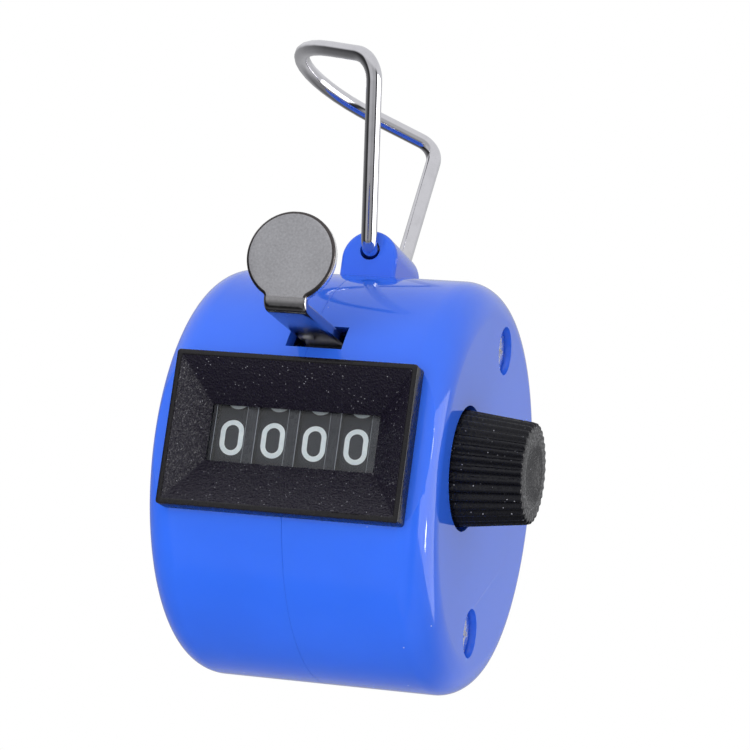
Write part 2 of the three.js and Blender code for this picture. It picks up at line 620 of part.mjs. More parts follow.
class ArcCurve extends THREE.Curve {
  constructor(centre, start, end) {
    super();
    this.centre = centre;
    this.from = start.clone().sub(centre);
    this.to = end.clone().sub(centre);
    this.sweep = this.from.angleTo(this.to);
  }
  getPoint(t, target = new THREE.Vector3()) {
    const scale = 1 / Math.sin(this.sweep);
    return target.copy(this.centre)
      .addScaledVector(this.from, Math.sin((1 - t) * this.sweep) * scale)
      .addScaledVector(this.to, Math.sin(t * this.sweep) * scale);
  }
}
addPart('finger_ring', wire(bentPath(RING_BENDS), RING_WIRE_R, 7, 62), CHROME);

const part = new THREE.Group();
counter.position.x = HALF_W;
part.add(counter);

export default part;
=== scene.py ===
"""Looks of the hand tally counter: fine shells, bezel, wheels with digits, lever, knob and ring
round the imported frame. Lengths here are millimetres from the seam plane, on the drum axis."""
import math

import bmesh
import bpy
from mathutils import Matrix, Vector


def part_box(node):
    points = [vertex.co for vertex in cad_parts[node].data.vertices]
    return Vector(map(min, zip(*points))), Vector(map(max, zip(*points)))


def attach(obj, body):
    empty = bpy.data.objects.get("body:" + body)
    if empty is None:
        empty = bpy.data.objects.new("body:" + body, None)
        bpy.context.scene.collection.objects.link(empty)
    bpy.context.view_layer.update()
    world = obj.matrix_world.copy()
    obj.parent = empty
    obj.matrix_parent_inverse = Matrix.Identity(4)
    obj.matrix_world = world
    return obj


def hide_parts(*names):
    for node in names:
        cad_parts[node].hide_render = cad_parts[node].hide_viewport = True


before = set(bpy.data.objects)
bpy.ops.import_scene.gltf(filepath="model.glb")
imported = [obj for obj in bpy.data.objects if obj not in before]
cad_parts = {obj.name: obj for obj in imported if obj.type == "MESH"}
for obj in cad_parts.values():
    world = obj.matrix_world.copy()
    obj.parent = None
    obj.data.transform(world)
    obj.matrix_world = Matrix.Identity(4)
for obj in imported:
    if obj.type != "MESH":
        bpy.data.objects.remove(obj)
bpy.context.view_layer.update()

MM = 0.001
SEAM_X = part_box("left_shell")[1].x / MM  # row x of the seam between the two shells


def cad_box_mm(node):
    """Lowest and highest corner of a CAD node, in millimetres from the seam plane."""
    low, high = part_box(node)
    return [Vector((c.x / MM - SEAM_X, c.y / MM, c.z / MM)) for c in (low, high)]


# Driving sizes, read from the frame
SHELL = cad_box_mm("right_shell")
HALF_W = SHELL[1].x
DRUM_R = -SHELL[0].z
FLAT_Y = SHELL[0].y
LUG_TOP = SHELL[1].z
BEZEL = cad_box_mm("bezel")
LENS = cad_box_mm("window_lens")
COMB = cad_box_mm("digit_comb")
KNOB = cad_box_mm("reset_knob")
LEVER = cad_box_mm("thumb_lever")
WHEELS = ["thousands", "hundreds", "tens", "units"]
AXIS_Y = (KNOB[0].y + KNOB[1].y) / 2
AXIS_Z = (KNOB[0].z + KNOB[1].z) / 2  # the wheels and the knob turn on (AXIS_Y, AXIS_Z)
PIVOT = cad_box_mm("lever_pivot_pin")
PIVOT_Y = (PIVOT[0].y + PIVOT[1].y) / 2
PIVOT_Z = (PIVOT[0].z + PIVOT[1].z) / 2
WHEEL_R = cad_box_mm("number_wheel_units")[1].z - AXIS_Z

# Details that the frame holds only as shapes
GAP = 0.3  # running clearance
EDGE_R = 3.7
WALL = 1.8
FLAT_WALL = 1.6
SEAM_CHAMFER = 0.07
LUG_X = 0.3
LUG_HALF_W = 3.12
LUG_Y = (-4.7, 4.9)
LUG_ROOT_Z = DRUM_R - 2.2
LUG_CORNER = 0.4
RING_Z = 24.4
WIRE_R = 0.85
RING_HOLE_R = WIRE_R + 0.25
SCREW_Z = 15.3
SCREW_R = 1.25
SCREW_HEAD_R = 2.3
SCREW_TIP_X = -7.0
SCREW_TOP_X = cad_box_mm("case_screw_top")[1].x
SCREW_UNDER_X = SCREW_TOP_X - 1.5
COUNTERBORE_R = 2.6
BOSS_R = 3.5
RIB_HALF_W = 1.0
POST_R = 1.3
POSTS = [(4, 4), (4, -7), (-13, -7)]  # (y, z) of the posts that hold the frame plates endways
SOCKET_END = -12.4
SOCKET_WALL = 1.6
SLOT_X = (-2.4, 3.6)
SLOT_Z = (9.75, 12.45)
WINDOW_X = (-9.3, 8.65)
WINDOW_Z = (-2.7, 3.2)
BEZEL_HOLE = (12.0, 7.3)  # half sizes of the hole for the bezel
BEZEL_RIM = 0.55
HOOK_HALF_W = 3.0  # snap hooks of the bezel
HOOK_ARM = 0.8
HOOK_TOOTH = 0.9
HOOK_BACK_Y = -17.7
WHEEL_LEFT = 1.87
WHEEL_RIGHT = 1.25
WHEEL_HUB_R = 3.0
WHEEL_RIM = 1.1
WHEEL_RECESS = 0.8
GEAR_TEETH = 20
GEAR_R = 6.4
GEAR_W = 0.55
ADDENDUM = 0.5
DEDENDUM = 0.65
TOOTH_HALF_ROOT = 0.5
TOOTH_HALF_TIP = 0.19
CARRY_TEETH = (18, 19)
AXLE_R = 1.2
BORE_R = AXLE_R + GAP
KNOB_HOLE_R = 6.5
KNOB_HUB_R = 5.2
KNOB_END_R = 5.22
KNOB_BORE_END = 20.8
FLUTES = 33
FLUTE_DEPTH = 0.34
DISH_R = 3.4
DISH_DEPTH = 0.9
LEVER_X = (-1.55, 2.85)
LEVER_T = 1.15
LEVER_Z = 11.375
LEVER_BEND_R = 0.2
LEVER_EDGE_R = 0.3
PAD_R = 4.6
PAD_MID_Y = LEVER[0].y + LEVER_T / 2
PAD_Z = LEVER[1].z - PAD_R - 0.15
BARREL_R = 1.7
ARM_R = 1.2
ARM_T = 0.7
RIVET_HOLE_R = 0.62
FAR = 40  # further out than any part of the case


# Mesh helpers
def finish_mesh(name, bm, material, smooth_angle=35):
    """A new object from bm, scaled to metres and moved into the row frame."""
    bmesh.ops.remove_doubles(bm, verts=bm.verts, dist=1e-5)
    bmesh.ops.recalc_face_normals(bm, faces=bm.faces)
    mesh = bpy.data.meshes.new(name)
    bm.to_mesh(mesh)
    bm.free()
    mesh.transform(Matrix.Scale(MM, 4) @ Matrix.Translation((SEAM_X, 0, 0)))
    obj = bpy.data.objects.new(name, mesh)
    bpy.context.scene.collection.objects.link(obj)
    if material is not None:
        mesh.materials.append(material)
    smooth(obj, smooth_angle)
    return obj


def smooth(obj, angle=35):
    """Smooth shading, with edges sharper than the angle kept sharp."""
    mesh = obj.data
    mesh.polygons.foreach_set("use_smooth", [True] * len(mesh.polygons))
    mesh.set_sharp_from_angle(angle=math.radians(angle))


def keep_flats_flat(obj):
    """Normals that follow the larger faces, so that flat faces shade flat beside rounded edges."""
    modifier = obj.modifiers.new("normals", "WEIGHTED_NORMAL")
    modifier.mode = "FACE_AREA"
    modifier.weight = 100
    modifier.thresh = 0.01
    modifier.keep_sharp = True
    apply_modifiers(obj)


def loops_to_bm(loops, closed_along=False, cap_start=False, cap_end=False):
    """Faces between successive rings of points, all with the same count."""
    bm = bmesh.new()
    rings = [[bm.verts.new(p) for p in loop] for loop in loops]
    pairs = list(zip(rings, rings[1:]))
    if closed_along:
        pairs.append((rings[-1], rings[0]))
    count = len(rings[0])
    for a, b in pairs:
        for i in range(count):
            j = (i + 1) % count
            bm.faces.new((a[i], a[j], b[j], b[i]))
    if cap_start:
        bm.faces.new(rings[0])
    if cap_end:
        bm.faces.new(rings[-1])
    return bm


def circle_x(x, radius, y=0.0, z=0.0, count=96):
    """Ring of points round an axis along X."""
    step = 2 * math.pi / count
    return [(x, y + radius * math.cos(i * step), z + radius * math.sin(i * step)) for i in range(count)]


def arc(u, v, radius, start, end, steps):
    """Points [u, v] on an arc, angles in degrees."""
    angles = [math.radians(start + (end - start) * i / steps) for i in range(steps + 1)]
    return [(u + radius * math.cos(a), v + radius * math.sin(a)) for a in angles]


def turned(profile, y=0.0, z=0.0, count=96):
    """Body turned round an axis along X. A profile of (x, radius) that starts and ends at radius 0
    is capped there; any other profile closes on itself."""
    solid = profile[0][1] < 1e-6
    inner = profile[1:-1] if solid else profile
    loops = [circle_x(x, r, y, z, count) for x, r in inner]
    return loops_to_bm(loops, closed_along=not solid, cap_start=solid, cap_end=solid)


def prism(outline, axis, low, high):
    """Outline extruded along X or Y: outline points are (y, z) for X and (x, z) for Y."""
    if axis == "x":
        loops = [[(at, u, v) for u, v in outline] for at in (low, high)]
    else:
        loops = [[(u, at, v) for u, v in outline] for at in (low, high)]
    return loops_to_bm(loops, cap_start=True, cap_end=True)


def prism_z(outline, low, high):
    """Outline of (x, y) extruded along Z."""
    loops = [[(x, y, at) for x, y in outline] for at in (low, high)]
    return loops_to_bm(loops, cap_start=True, cap_end=True)


def block(x, y, z):
    return prism([(y[0], z[0]), (y[1], z[0]), (y[1], z[1]), (y[0], z[1])], "x", x[0], x[1])


def rod_x(radius, x, y, z, count=48):
    return turned([(x[0], 0), (x[0], radius), (x[1], radius), (x[1], 0)], y, z, count)


def rod_y(radius, y, x, z, count=48):
    return prism([(u, v) for u, v in arc(x, z, radius, 0, 360, count)[:-1]], "y", y[0], y[1])


def apply_modifiers(obj):
    """Replaces the object's mesh by its evaluated one."""
    bpy.context.view_layer.update()
    graph = bpy.context.evaluated_depsgraph_get()
    mesh = bpy.data.meshes.new_from_object(obj.evaluated_get(graph))
    old = obj.data
    obj.modifiers.clear()
    obj.data = mesh
    bpy.data.meshes.remove(old)


def join_object(obj, other, operation):
    """Exact boolean of obj with another object, which is then removed."""
    modifier = obj.modifiers.new("combine", "BOOLEAN")
    modifier.operation = operation
    modifier.solver = "EXACT"
    modifier.object = other
    apply_modifiers(obj)
    mesh = other.data
    bpy.data.objects.remove(other)
    bpy.data.meshes.remove(mesh)


def combine(obj, tools, operation):
    """Exact boolean of obj with each tool, which is a bmesh."""
    for bm in tools:
        join_object(obj, finish_mesh("tool", bm, None), operation)


def round_edges(obj, width, segments=2, angle=40, material=-1):
    """Small radius on every edge sharper than the angle. New faces take the material slot, if it isn't -1."""
    modifier = obj.modifiers.new("edges", "BEVEL")
    modifier.width = width * MM
    modifier.segments = segments
    modifier.limit_method = "ANGLE"
    modifier.angle_limit = math.radians(angle)
    modifier.harden_normals = False
    modifier.material = material
    apply_modifiers(obj)
    smooth(obj, 40)
    keep_flats_flat(obj)


def place(obj, body, *nodes, slot=None):
    """obj rides on a body and stands for these CAD nodes."""
    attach(obj, body)
    if nodes:
        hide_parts(*nodes)
    return obj


# Materials
def principled(name, color, roughness, metallic=0.0, **sockets):
    """A material with one Principled shader; returns it with its node tree and shader."""
    material = bpy.data.materials.new(name)
    material.use_nodes = True
    tree = material.node_tree
    shader = tree.nodes["Principled BSDF"]
    shader.inputs["Base Color"].default_value = (*color, 1)
    shader.inputs["Roughness"].default_value = roughness
    shader.inputs["Metallic"].default_value = metallic
    for socket, value in sockets.items():
        shader.inputs[socket.replace("_", " ")].default_value = value
    return material, tree, shader


def add(tree, kind, inputs=None, **settings):
    """A node with settings and inputs; an input is a value or another node's output socket."""
    node = tree.nodes.new(kind)
    for key, value in settings.items():
        setattr(node, key, value)
    for key, value in (inputs or {}).items():
        if isinstance(value, bpy.types.NodeSocket):
            tree.links.new(value, node.inputs[key])
        else:
            node.inputs[key].default_value = value
    return node


def noise(tree, scale, detail=2.0, rough=0.5, stretch=None):
    """Noise in object space; scale is in features per metre."""
    where = add(tree, "ShaderNodeTexCoord").outputs["Object"]
    if stretch is not None:
        where = add(tree, "ShaderNodeMapping", {"Vector": where, "Scale": stretch}).outputs["Vector"]
    return add(tree, "ShaderNodeTexNoise",
               {"Vector": where, "Scale": scale, "Detail": detail, "Roughness": rough}).outputs["Fac"]


def ramp(tree, factor, low, high, from_value, to_value):
    """factor between low and high mapped to a range, clamped."""
    return add(tree, "ShaderNodeMapRange", {"Value": factor, "From Min": low, "From Max": high,
               "To Min": from_value, "To Max": to_value}).outputs["Result"]


def mix_color(tree, factor, a, b):
    node = add(tree, "ShaderNodeMix", data_type="RGBA")
    for socket, value in ((node.inputs[0], factor), (node.inputs[6], a), (node.inputs[7], b)):
        if isinstance(value, bpy.types.NodeSocket):
            tree.links.new(value, socket)
        else:
            socket.default_value = (*value, 1) if isinstance(value, tuple) else value
    return node.outputs[2]


def bump(tree, shader, height, distance, strength=1.0):
    """Bump of a height field; distance is in metres."""
    node = add(tree, "ShaderNodeBump", {"Height": height, "Distance": distance, "Strength": strength})
    tree.links.new(node.outputs["Normal"], shader.inputs["Normal"])


def specks(tree, scale, size, share):
    """Scattered small dots: 1 on a dot, 0 elsewhere. share is the part of the cells that holds one."""
    where = add(tree, "ShaderNodeTexCoord").outputs["Object"]
    cells = add(tree, "ShaderNodeTexVoronoi", {"Vector": where, "Scale": scale})
    near = ramp(tree, cells.outputs["Distance"], size, size * 0.6, 0, 1)
    pick = add(tree, "ShaderNodeSeparateColor", {"Color": cells.outputs["Color"]}).outputs["Red"]
    chosen = ramp(tree, pick, share, share - 0.01, 0, 1)
    return add(tree, "ShaderNodeMath", {0: near, 1: chosen}, operation="MULTIPLY").outputs["Value"]


def blue_plastic():
    """Glossy blue plastic, slightly milky, with a little dust."""
    material, tree, shader = principled("case blue", BLUE_COLOR, 0.06, IOR=1.5)
    shader.inputs["Subsurface Weight"].default_value = 0.12
    shader.inputs["Subsurface Radius"].default_value = (0.2, 0.4, 1.0)
    shader.inputs["Subsurface Scale"].default_value = 0.0012
    deeper, paler = (tuple(c * k for c in BLUE_COLOR) for k in (0.96, 1.04))
    tone = mix_color(tree, ramp(tree, noise(tree, 60, 3), 0.35, 0.65, 0, 1), deeper, paler)
    dust = specks(tree, 700, 0.055, 0.10)
    tree.links.new(mix_color(tree, dust, tone, (0.75, 0.82, 0.95)), shader.inputs["Base Color"])
    tree.links.new(ramp(tree, noise(tree, 900, 4), 0.3, 0.7, 0.04, 0.08), shader.inputs["Roughness"])
    bump(tree, shader, noise(tree, 180, 2), 0.00002, 0.3)
    return material


def black_textured(name, dark, gloss, cell, depth, painted_glint_share, specular=0.5):
    """Spark-eroded black plastic: pits of the given cells per metre, with scattered pale specks painted into
    the colour as glints.
    """
    material, tree, shader = principled(name, dark, gloss, IOR=1.5, Specular_IOR_Level=specular)
    where = add(tree, "ShaderNodeTexCoord").outputs["Object"]
    pits = add(tree, "ShaderNodeTexVoronoi", {"Vector": where, "Scale": cell, "Randomness": 1.0})
    height = add(tree, "ShaderNodeMath", {0: pits.outputs["Distance"], 1: noise(tree, cell * 0.6, 3)},
                 operation="ADD").outputs["Value"]
    large = specks(tree, cell * 0.6, 0.16, painted_glint_share)
    small = specks(tree, cell * 1.2, 0.3, painted_glint_share)
    painted_glints = add(tree, "ShaderNodeMath", {0: large, 1: small}, operation="MAXIMUM").outputs["Value"]
    # pale specks painted into the base colour as glints, a painted highlight
    tree.links.new(mix_color(tree, painted_glints, dark, (0.42, 0.42, 0.46)), shader.inputs["Base Color"])
    rough = ramp(tree, noise(tree, cell, 2), 0.4, 0.6, gloss * 0.6, gloss * 1.8)
    tree.links.new(rough, shader.inputs["Roughness"])
    bump(tree, shader, height, depth)
    return material


def dark_wheel():
    material, tree, shader = principled("wheel grey", (0.017, 0.018, 0.028), 0.5, IOR=1.5)
    tree.links.new(mix_color(tree, ramp(tree, noise(tree, 500, 4), 0.3, 0.7, 0, 1),
                             (0.015, 0.016, 0.026), (0.02, 0.021, 0.031)), shader.inputs["Base Color"])
    bump(tree, shader, noise(tree, 2500, 3), 0.000002, 0.3)
    return material


def white_print():
    material, tree, shader = principled("digit white", (0.82, 0.88, 0.93), 0.45)
    tree.links.new(mix_color(tree, ramp(tree, noise(tree, 2200, 3), 0.3, 0.75, 0, 1),
                             (0.95, 0.98, 1.0), (0.82, 0.89, 0.94)), shader.inputs["Base Color"])
    return material


def clear_window():
    """Clear acrylic that lets lamps through to the wheels."""
    material, tree, shader = principled("window clear", (0.96, 0.98, 0.98), 0.02, IOR=1.49)
    shader.inputs["Transmission Weight"].default_value = 1.0
    tree.links.new(ramp(tree, noise(tree, 1200, 3), 0.45, 0.75, 0.01, 0.06), shader.inputs["Roughness"])
    through = add(tree, "ShaderNodeBsdfTransparent", {"Color": (0.95, 0.97, 0.97, 1)})
    shadow = add(tree, "ShaderNodeLightPath").outputs["Is Shadow Ray"]
    mix = add(tree, "ShaderNodeMixShader",
              {0: shadow, 1: shader.outputs["BSDF"], 2: through.outputs["BSDF"]})
    tree.links.new(mix.outputs["Shader"], tree.nodes["Material Output"].inputs["Surface"])
    return material


def satin_nickel():
    """Blasted nickel with a fine, even grain."""
    material, tree, shader = principled("lever satin nickel", (0.56, 0.555, 0.58), 0.42, 1.0)
    grain = noise(tree, 4200, 3, 0.6)
    tone = mix_color(tree, ramp(tree, grain, 0.3, 0.7, 0, 1), (0.49, 0.485, 0.505), (0.63, 0.625, 0.65))
    tree.links.new(tone, shader.inputs["Base Color"])
    tree.links.new(ramp(tree, noise(tree, 300, 2), 0.3, 0.7, 0.36, 0.5), shader.inputs["Roughness"])
    bump(tree, shader, grain, 0.000012, 0.6)
    return material


def metal(name, color, roughness, grain_scale=900.0, depth=0.000004):
    """Plated metal with slight changes of gloss and fine marks."""
    material, tree, shader = principled(name, color, roughness, 1.0)
    marks = noise(tree, grain_scale, 4, 0.65)
    rough = ramp(tree, marks, 0.35, 0.75, roughness * 0.7, roughness * 1.6)
    tree.links.new(rough, shader.inputs["Roughness"])
    dark = tuple(c * 0.86 for c in color)
    tone = mix_color(tree, ramp(tree, marks, 0.45, 0.8, 0, 1), color, dark)
    tree.links.new(tone, shader.inputs["Base Color"])
    bump(tree, shader, marks, depth, 0.5)
    return material


def acetal():
    material, tree, shader = principled("gear white", (0.8, 0.8, 0.76), 0.4)
    tree.links.new(mix_color(tree, noise(tree, 400, 3), (0.84, 0.84, 0.8), (0.74, 0.74, 0.7)),
                   shader.inputs["Base Color"])
    return material


BLUE_COLOR = (0.038, 0.162, 0.90)
BLUE = blue_plastic()
BEZEL_BLACK = black_textured("bezel black", (0.009, 0.007, 0.016), 0.22, 4600, 0.00008, 0.05)
RIM_BLACK = black_textured("bezel rim black", (0.004, 0.003, 0.005), 0.22, 2500, 0.000004, 0.0)
KNOB_BLACK = black_textured("knob black", (0.004, 0.004, 0.007), 0.28, 3400, 0.00003, 0.03, 0.35)
COMB_GREY = black_textured("comb grey", (0.016, 0.017, 0.027), 0.5, 4000, 0.000004, 0.0)
# light grey painted on the slot edges of the dark mask as a highlight
COMB_PAINTED_HIGHLIGHT = black_textured("comb edge painted highlight", (0.4, 0.42, 0.48), 0.4, 4000, 0.000004, 0.0)
WHEEL_GREY = dark_wheel()
WHITE = white_print()
CLEAR = clear_window()
SATIN = satin_nickel()
# polished nickel for the strip, its colour darker than the satin's as partly painted shade on the bend
NICKEL = metal("lever polished nickel partly painted shade", (0.42, 0.41, 0.42), 0.14, 3000.0, 0.00001)
# very dark nickel painted on the lever's rounded edges as shade
NICKEL_PAINTED_SHADE = metal("lever edge nickel painted shade", (0.10, 0.09, 0.09), 0.3, 3000.0)
# near-white nickel painted on the side wall of the lever's pad as a highlight
NICKEL_PAINTED_HIGHLIGHT = metal("lever side nickel painted highlight", (0.95, 0.94, 0.93), 0.25, 1500.0)
CHROME = metal("ring chrome", (0.74, 0.73, 0.76), 0.06, 500.0)
SCREW = metal("screw plated", (0.95, 0.93, 0.88), 0.22, 1500.0, 0.00001)
STEEL = metal("inner steel", (0.5, 0.5, 0.52), 0.32, 1200.0)
SPRING = metal("spring steel", (0.55, 0.55, 0.58), 0.22, 1500.0)
ACETAL = acetal()


# Camera, lights and floor
def aim(obj, target, roll=0.0):
    direction = Vector(target) - obj.location
    turn = direction.to_track_quat("-Z", "Y").to_matrix().to_4x4()
    obj.matrix_world = Matrix.Translation(obj.location) @ turn @ Matrix.Rotation(math.radians(roll), 4, "Z")


def row(x, y, z):
    return Vector(((x + SEAM_X) * MM, y * MM, z * MM))


bpy.context.scene.view_settings.view_transform = "Standard"


def make_camera():
    azimuth, elevation, distance = math.radians(17.57), math.radians(-11.93), 0.3021
    target = row(1.24, 0.08, 11.72)
    data = bpy.data.cameras.new("camera")
    data.lens = 133.84
    data.sensor_width = 36
    data.clip_end = 10
    camera = bpy.data.objects.new("camera", data)
    bpy.context.scene.collection.objects.link(camera)
    camera.location = target + distance * Vector((math.sin(azimuth) * math.cos(elevation),
                                                 -math.cos(azimuth) * math.cos(elevation),
                                                 math.sin(elevation)))
    aim(camera, target, roll=7.68)
    bpy.context.scene.camera = camera


def area_light(name, place_mm, size_mm, watts, glossy=True, diffuse=True):
    """Lamp that faces the middle of the case."""
    data = bpy.data.lights.new(name, "AREA")
    data.shape = "RECTANGLE"
    data.size, data.size_y = size_mm[0] * MM, size_mm[1] * MM
    data.energy = watts
    lamp = bpy.data.objects.new(name, data)
    bpy.context.scene.collection.objects.link(lamp)
    lamp.visible_glossy = glossy
    lamp.visible_diffuse = diffuse
    lamp.visible_transmission = False
    lamp.location = row(*place_mm)
    aim(lamp, row(0, 0, 0))


STUDIO = [  # brightness round the horizon: azimuth from the front, in degrees, and level
    (-180, 0.5), (-120, 0.3), (-66, 0.04), (-48, 0.04), (-38, 0.6), (-8, 0.62), (8, 0.5), (40, 0.5),
    (50, 0.05), (60, 0.05), (70, 0.8), (110, 0.8), (130, 0.66), (170, 0.66), (180, 0.5),
]
SKY_LEVEL = 0.8


def math_node(tree, operation, a, b):
    return add(tree, "ShaderNodeMath", {0: a, 1: b}, operation=operation).outputs["Value"]


def studio_level(tree):
    """Brightness of the surroundings: panels round the horizon, a darker ground and an even sky."""
    direction = add(tree, "ShaderNodeTexCoord").outputs["Generated"]
    parts = add(tree, "ShaderNodeSeparateXYZ", {"Vector": direction})
    front = math_node(tree, "MULTIPLY", parts.outputs["Y"], -1.0)
    azimuth = math_node(tree, "ARCTAN2", parts.outputs["X"], front)
    panels = add(tree, "ShaderNodeValToRGB", {"Fac": ramp(tree, azimuth, -math.pi, math.pi, 0, 1)})
    stops = panels.color_ramp.elements
    while len(stops) < len(STUDIO):
        stops.new(0.5)
    for stop, (degrees, level) in zip(stops, STUDIO):
        stop.position = (degrees + 180) / 360
        stop.color = (level / 2, level / 2, level / 2, 1)
    # the ramp holds half of each level, which the factor below makes up for
    ground = ramp(tree, parts.outputs["Z"], -0.7, -0.25, 0.7, 2.0)
    walls = math_node(tree, "MULTIPLY", panels.outputs["Color"], ground)
    sky = ramp(tree, parts.outputs["Z"], 0.25, 0.5, 0.0, 1.0)
    blend = add(tree, "ShaderNodeMix", {"Factor": sky, "A": walls, "B": SKY_LEVEL}, data_type="FLOAT")
    return blend.outputs["Result"]


def make_world():
    """White where the camera sees it; for light and reflections, a pale studio."""
    world = bpy.data.worlds.new("studio")
    bpy.context.scene.world = world
    world.use_nodes = True
    tree = world.node_tree
    shader = tree.nodes["Background"]
    tree.links.new(studio_level(tree), shader.inputs["Strength"])
    shader.inputs["Color"].default_value = (0.97, 0.98, 1.0, 1)
    seen = add(tree, "ShaderNodeLightPath").outputs["Is Camera Ray"]
    backdrop = add(tree, "ShaderNodeBackground", {"Color": (1, 1, 1, 1), "Strength": 1.0})
    mix = add(tree, "ShaderNodeMixShader",
              {0: seen, 1: shader.outputs["Background"], 2: backdrop.outputs["Background"]})
    tree.links.new(mix.outputs["Shader"], tree.nodes["World Output"].inputs["Surface"])


def make_floor():
    """Pale floor well below the counter, left out of reflections."""
    material, tree, shader = principled("floor pale", (0.9, 0.9, 0.9), 0.6)
    tone = mix_color(tree, noise(tree, 8, 2), (0.9, 0.9, 0.9), (0.93, 0.93, 0.93))
    tree.links.new(tone, shader.inputs["Base Color"])
    top, half = -85, 900
    floor = finish_mesh("floor", block((-half, half), (-half, half), (top - 2, top)), material)
    floor.visible_glossy = False


make_camera()
make_world()
make_floor()
area_light("front fill", (-20, -330, -30), (260, 260), 0.72, glossy=False)
area_light("right panel", (300, 30, -10), (340, 280), 0.6, diffuse=False)
area_light("glint lamp", (285, -71, 62), (50, 50), 0.1, diffuse=False)
area_light("right strip", (292, 10, -75), (16, 50), 0.06)


# Case shells
def lug(side):
    """Half of the lug: a rounded upright with soft edges."""
    sides = arc(LUG_X, LUG_TOP - LUG_HALF_W, LUG_HALF_W, 0, 180, 40)
    outline = [(LUG_X + LUG_HALF_W, LUG_ROOT_Z), *sides, (LUG_X - LUG_HALF_W, LUG_ROOT_Z)]
    obj = finish_mesh("lug", prism(outline, "y", *LUG_Y), None)
    round_edges(obj, LUG_CORNER, 5, 60)
    x = (0, FAR) if side > 0 else (-FAR, 0)
    combine(obj, [block(x, (-FAR, FAR), (0, FAR))], "INTERSECT")
    return obj


def drum(radius, half_width, edge_radius, side, seam):
    """Closed half drum, from the profile's points at the seam to the end face."""
    profile = [*seam, *arc(half_width - edge_radius, radius - edge_radius, edge_radius, 90, 0, 24)]
    profile.append((half_width, 0))
    return turned([(side * x, r) for x, r in profile], count=256)


def shell_hollow(side, span):
    """The space inside a shell, with room left for bosses, ribs, posts and the axle's socket."""
    inner_r, start = DRUM_R - WALL, -1.0
    body = drum(inner_r, HALF_W - WALL, EDGE_R - WALL, side, [(start, 0), (start, inner_r)])
    hollow = finish_mesh("hollow", body, None)
    combine(hollow, [block(span(-3, FAR), (-FAR, FLAT_Y + FLAT_WALL), (-FAR, FAR))], "DIFFERENCE")
    kept = []
    for z in (SCREW_Z, -SCREW_Z):
        rib_z = (z, DRUM_R - 1) if z > 0 else (1 - DRUM_R, z)
        kept.append(rod_x(BOSS_R, span(0, HALF_W - 1), 0, z))
        kept.append(block(span(-0.01, HALF_W - 1), (-RIB_HALF_W, RIB_HALF_W), rib_z))
    left_plate, right_plate = cad_box_mm("frame_plate_left"), cad_box_mm("frame_plate_right")
    plate = -left_plate[0].x if side < 0 else right_plate[1].x
    kept += [rod_x(POST_R, span(plate + GAP, HALF_W - WALL + 0.5), y, z) for y, z in POSTS]
    if side < 0:
        kept.append(rod_x(BORE_R + SOCKET_WALL, (-HALF_W + 1, SOCKET_END), AXIS_Y, AXIS_Z))
    combine(hollow, kept, "DIFFERENCE")
    return hollow


def shell_cuts(side):
    """Holes and slots that go through a shell's wall."""
    hole_x, hole_z = BEZEL_HOLE
    cuts = [
        block(SLOT_X, (-24, -15), SLOT_Z),
        block((-hole_x, hole_x), (-24, -18), (-hole_z, hole_z)),
        rod_y(RING_HOLE_R, (-10, 10), LUG_X, RING_Z),
    ]
    for z in (SCREW_Z, -SCREW_Z):
        cuts.append(rod_x(SCREW_R + GAP, (SCREW_TIP_X - 1, HALF_W + 1), 0, z))
        if side > 0:
            cuts.append(rod_x(COUNTERBORE_R, (SCREW_UNDER_X, HALF_W + 1), 0, z, 64))
    if side > 0:
        cuts.append(rod_x(KNOB_HOLE_R, (HALF_W - 4, HALF_W + 1), AXIS_Y, AXIS_Z, 128))
    else:
        cuts.append(rod_x(BORE_R, (-HALF_W + 1, 0), AXIS_Y, AXIS_Z))
    return cuts


def case_shell(side):
    """Left shell for side -1, right shell for side 1."""
    name, node = ("shell_left", "left_shell") if side < 0 else ("shell_right", "right_shell")

    def span(a, b):
        return (a, b) if side > 0 else (-b, -a)

    seam = [(0, 0), (0, DRUM_R - SEAM_CHAMFER), (SEAM_CHAMFER, DRUM_R)]
    shell = finish_mesh(name, drum(DRUM_R, HALF_W, EDGE_R, side, seam), BLUE)
    combine(shell, [block(span(-1, FAR), (-FAR, FLAT_Y), (-FAR, FAR))], "DIFFERENCE")
    join_object(shell, shell_hollow(side, span), "DIFFERENCE")
    join_object(shell, lug(side), "UNION")
    combine(shell, shell_cuts(side), "DIFFERENCE")
    round_edges(shell, 0.1, 2, 50)
    return place(shell, "case", node, slot="case_blue")


case_shell(-1)
case_shell(1)


# Bezel, window and comb
def rounded_rectangle(half_x, half_z, radius, y, centre=(0, 0), steps=6):
    """Ring of points round a rectangle with rounded corners, at one y."""
    points = []
    for side_x, side_z, start in ((1, 1, 0), (-1, 1, 90), (-1, -1, 180), (1, -1, 270)):
        u = centre[0] + side_x * (half_x - radius)
        v = centre[1] + side_z * (half_z - radius)
        points += [(x, y, z) for x, z in arc(u, v, radius, start, start + 90, steps)]
    return points


def middle(span):
    return (span[0] + span[1]) / 2


def half(span):
    return (span[1] - span[0]) / 2


def bezel_hook(side, inner_x, back):
    """Snap hook behind one end of the bezel, whose tooth grips the case wall from inside."""
    tooth_y = FLAT_Y + FLAT_WALL + GAP
    outline = [(inner_x - HOOK_ARM, back - 0.3), (inner_x, back - 0.3), (inner_x, tooth_y),
               (inner_x + HOOK_TOOTH, tooth_y), (inner_x, HOOK_BACK_Y), (inner_x - HOOK_ARM, HOOK_BACK_Y)]
    return prism_z([(side * x, y) for x, y in outline], -HOOK_HALF_W, HOOK_HALF_W)


